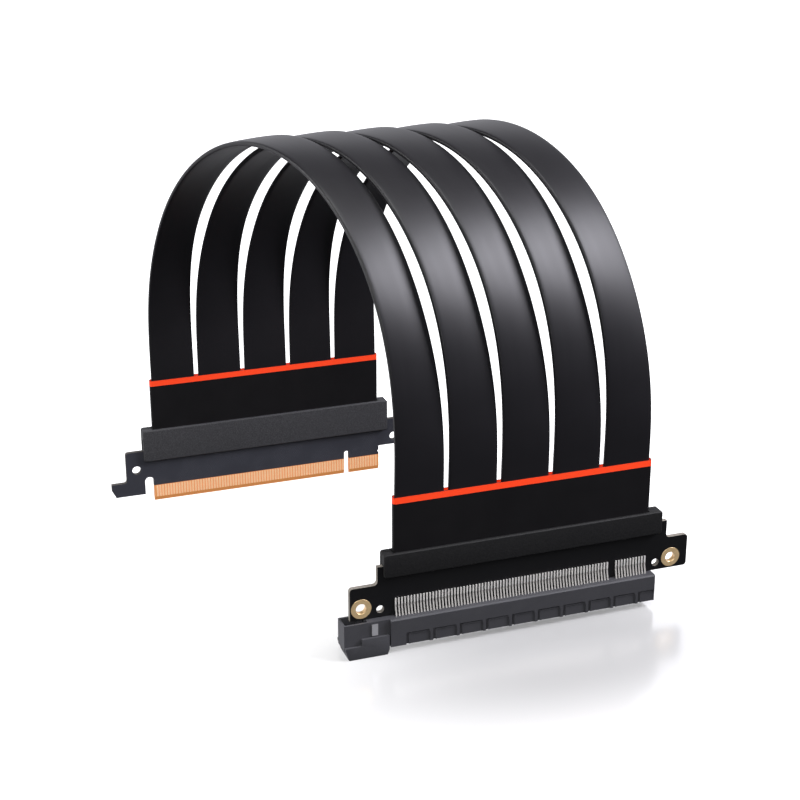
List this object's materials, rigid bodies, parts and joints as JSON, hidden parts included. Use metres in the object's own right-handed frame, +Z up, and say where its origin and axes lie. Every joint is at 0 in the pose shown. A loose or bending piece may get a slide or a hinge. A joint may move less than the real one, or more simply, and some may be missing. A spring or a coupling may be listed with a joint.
{
  "type": "gpu riser cable",
  "caption": "Flat ribbon riser cable with a card-edge plug at one end and an expansion card slot with a latch at the other, standing as an arch.",
  "frame": {"origin": "centre of the plug's contact tongue, on its lower edge, at the middle of the board's thickness", "axes": "+X along the card edge from the hook towards the key notch, +Z up from the tongue into the cable, -Y from the plug towards the socket"},
  "size_m": [0.1592, 0.1353, 0.1431],
  "materials": {
    "board": "black solder mask over glass-fibre board",
    "cover": "fine-grained black moulding",
    "sleeve": "satin black sleeve with an orange-red band near its mouth",
    "slot_plastic": "dark grey moulded nylon",
    "gold_plate": "thin gold plating",
    "ribbon_jacket": "satin charcoal cable jacket"
  },
  "bodies": {
    "riser": {"plug_board": "board", "plug_cover_front": "cover", "plug_cover_back": "cover", "plug_sleeve": "sleeve", "socket_board": "board", "socket_cover_front": "cover", "socket_cover_back": "cover", "socket_sleeve": "sleeve", "slot_housing": "slot_plastic", "mounting_eyelet_left": "gold_plate", "mounting_eyelet_right": "gold_plate", "ribbon_1": "ribbon_jacket", "ribbon_2": "ribbon_jacket", "ribbon_3": "ribbon_jacket", "ribbon_4": "ribbon_jacket", "ribbon_5": "ribbon_jacket"},
    "latch": {"latch_lever": "slot_plastic"}
  },
  "joints": [
    {"name": "latch_swing", "type": "hinge", "parent": "riser", "child": "latch", "pos_m": [-0.0074, -0.129, 0.0095], "axis": [0, 1, 0], "range_deg": [0, 10]}
  ]
}
